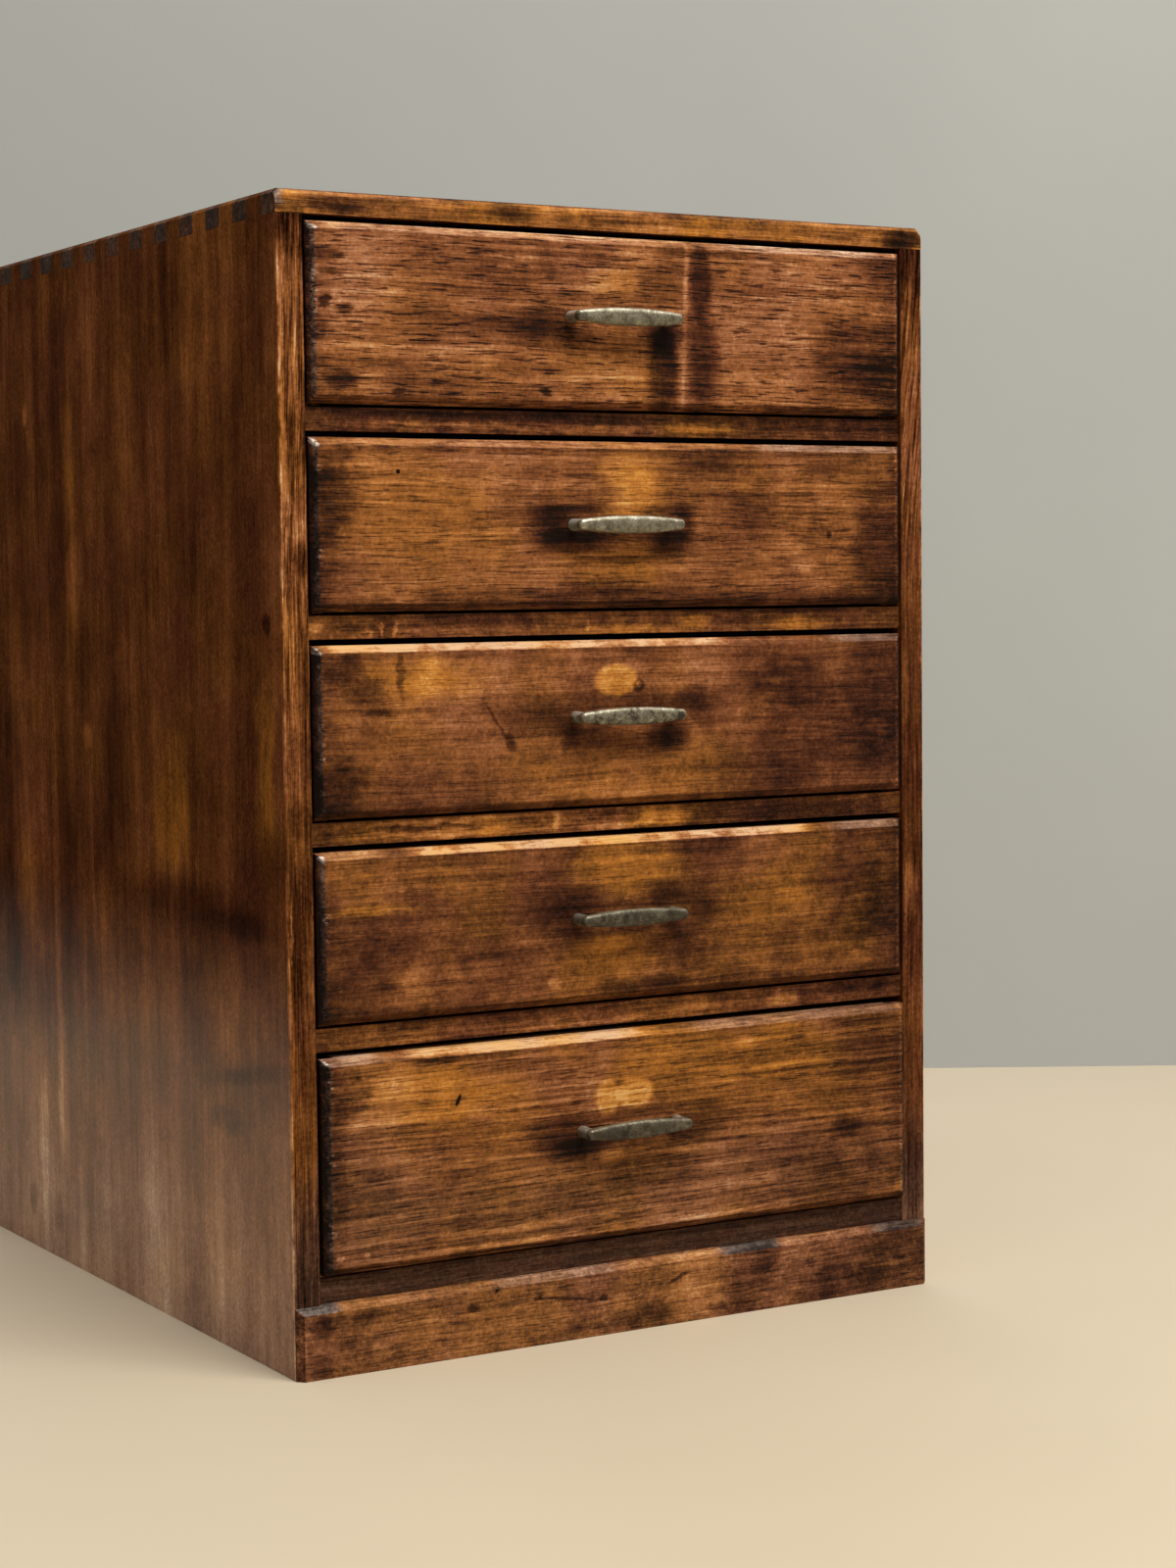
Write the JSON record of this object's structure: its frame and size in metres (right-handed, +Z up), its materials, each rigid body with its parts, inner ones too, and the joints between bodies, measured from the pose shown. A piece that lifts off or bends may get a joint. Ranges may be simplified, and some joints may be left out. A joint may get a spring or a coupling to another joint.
{
  "type": "tabletop drawer cabinet",
  "caption": "Old oak tabletop cabinet: a column of sliding drawers with bevelled fronts and cast metal pulls, finger-jointed top corners, on a low plinth.",
  "frame": {"origin": "on the surface that the cabinet stands on, below the middle of its bounding box", "axes": "X to the right as seen from the front, Y from the drawer fronts to the back, Z up"},
  "size_m": [0.33, 0.4048, 0.4986],
  "materials": {
    "case_oak": "old dark satin polish",
    "rail_oak": "old dark polish, worn",
    "front_oak": "old red-brown polish, worn",
    "plinth_oak": "old brown polish, worn",
    "inner_wood": "bare, aged",
    "pull_metal": "dull cast white metal with patina",
    "screw_steel": "plain, tarnished"
  },
  "bodies": {
    "carcass": {"top_board": "case_oak", "left_side_board": "case_oak", "right_side_board": "case_oak", "rail_1": "rail_oak", "rail_2": "rail_oak", "rail_3": "rail_oak", "rail_4": "rail_oak", "left_runner_1": "inner_wood", "left_runner_2": "inner_wood", "left_runner_3": "inner_wood", "left_runner_4": "inner_wood", "right_runner_1": "inner_wood", "right_runner_2": "inner_wood", "right_runner_3": "inner_wood", "right_runner_4": "inner_wood", "floor_board": "rail_oak", "back_panel": "inner_wood", "plinth_board": "plinth_oak"},
    "drawer_1": {"drawer_1_front": "front_oak", "drawer_1_left_side": "inner_wood", "drawer_1_right_side": "inner_wood", "drawer_1_back": "inner_wood", "drawer_1_bottom": "inner_wood", "drawer_1_pull": "pull_metal", "drawer_1_pull_screws": "screw_steel"},
    "drawer_2": {"drawer_2_front": "front_oak", "drawer_2_left_side": "inner_wood", "drawer_2_right_side": "inner_wood", "drawer_2_back": "inner_wood", "drawer_2_bottom": "inner_wood", "drawer_2_pull": "pull_metal", "drawer_2_pull_screws": "screw_steel"},
    "drawer_3": {"drawer_3_front": "front_oak", "drawer_3_left_side": "inner_wood", "drawer_3_right_side": "inner_wood", "drawer_3_back": "inner_wood", "drawer_3_bottom": "inner_wood", "drawer_3_pull": "pull_metal", "drawer_3_pull_screws": "screw_steel"},
    "drawer_4": {"drawer_4_front": "front_oak", "drawer_4_left_side": "inner_wood", "drawer_4_right_side": "inner_wood", "drawer_4_back": "inner_wood", "drawer_4_bottom": "inner_wood", "drawer_4_pull": "pull_metal", "drawer_4_pull_screws": "screw_steel"},
    "drawer_5": {"drawer_5_front": "front_oak", "drawer_5_left_side": "inner_wood", "drawer_5_right_side": "inner_wood", "drawer_5_back": "inner_wood", "drawer_5_bottom": "inner_wood", "drawer_5_pull": "pull_metal", "drawer_5_pull_screws": "screw_steel"}
  },
  "joints": [
    {"name": "drawer_1_slide", "type": "slide", "parent": "carcass", "child": "drawer_1", "axis": [0, -1, 0], "range_m": [0, 0.3]},
    {"name": "drawer_2_slide", "type": "slide", "parent": "carcass", "child": "drawer_2", "axis": [0, -1, 0], "range_m": [0, 0.3]},
    {"name": "drawer_3_slide", "type": "slide", "parent": "carcass", "child": "drawer_3", "axis": [0, -1, 0], "range_m": [0, 0.3]},
    {"name": "drawer_4_slide", "type": "slide", "parent": "carcass", "child": "drawer_4", "axis": [0, -1, 0], "range_m": [0, 0.3]},
    {"name": "drawer_5_slide", "type": "slide", "parent": "carcass", "child": "drawer_5", "axis": [0, -1, 0], "range_m": [-0.002, 0.3]}
  ]
}
